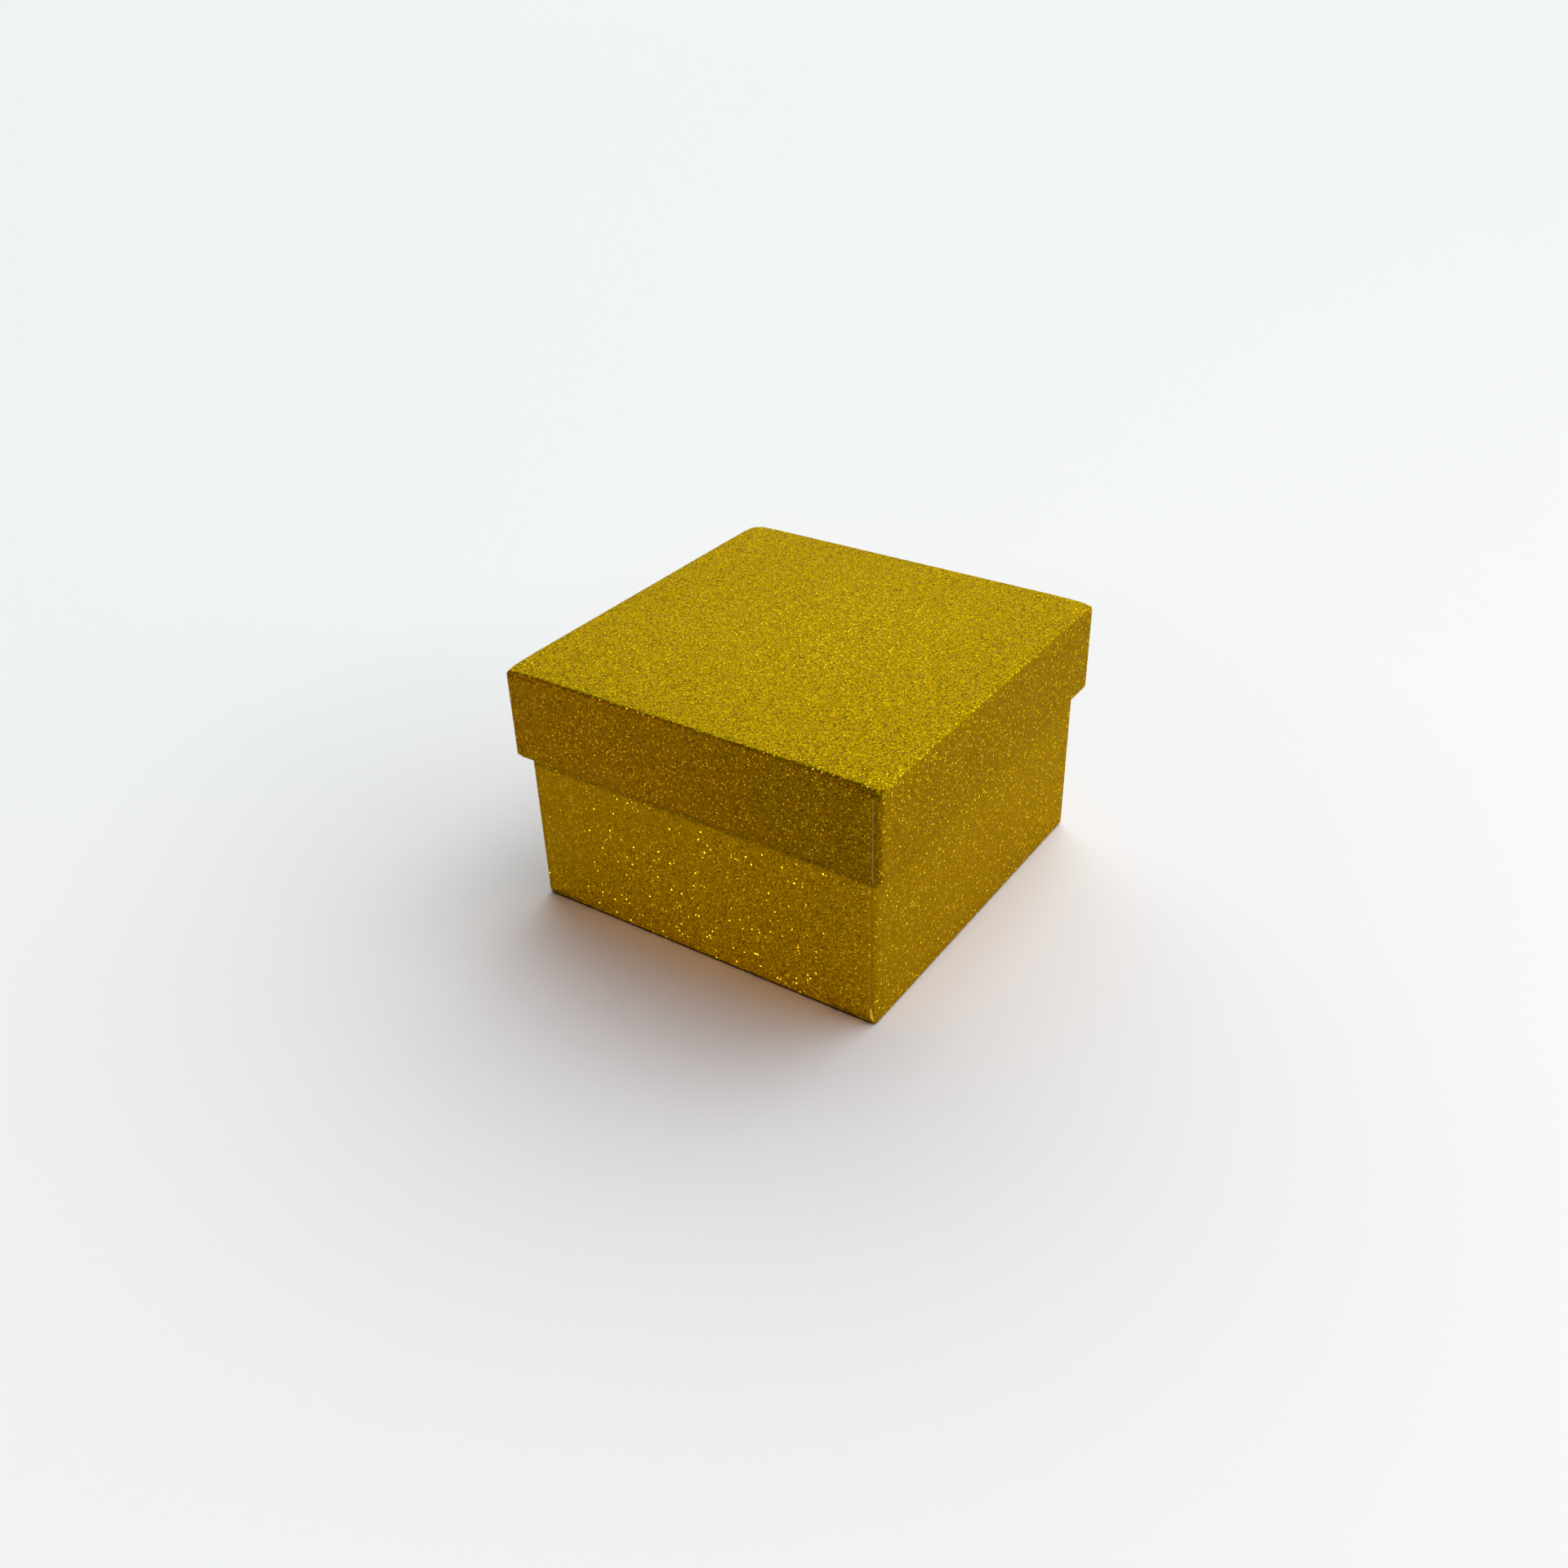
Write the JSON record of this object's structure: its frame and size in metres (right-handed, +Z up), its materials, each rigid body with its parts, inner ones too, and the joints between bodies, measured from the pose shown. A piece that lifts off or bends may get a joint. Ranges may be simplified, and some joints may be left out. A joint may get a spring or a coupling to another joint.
{
  "type": "favor box",
  "caption": "Small square set-up box in gold glitter paper, with a deep tray and a shallow lift-off lid that slips over it, to hold a small gift or sweets.",
  "frame": {"origin": "middle of the box's underside, on the surface that it stands on", "axes": "+Z up, the way the lid lifts; +X out of the right face, which the tabs are wrapped from; -Y out of the front face, which carries an over-flap"},
  "size_m": [0.08, 0.0804, 0.0505],
  "materials": {
    "greyboard": "matte",
    "stay_tape": "matte",
    "lining_paper": "matte",
    "glitter_paper": "satin"
  },
  "bodies": {
    "base": {"base_board": "greyboard", "base_corner_stay_1": "stay_tape", "base_corner_stay_2": "stay_tape", "base_corner_stay_3": "stay_tape", "base_corner_stay_4": "stay_tape", "base_lining": "lining_paper", "base_wrap": "glitter_paper"},
    "lid": {"lid_board": "greyboard", "lid_corner_stay_1": "stay_tape", "lid_corner_stay_2": "stay_tape", "lid_corner_stay_3": "stay_tape", "lid_corner_stay_4": "stay_tape", "lid_lining": "lining_paper", "lid_wrap": "glitter_paper"}
  },
  "joints": [
    {"name": "lid_lift", "type": "slide", "parent": "base", "child": "lid", "axis": [0, 0, 1], "range_m": [0, 0.06]}
  ]
}
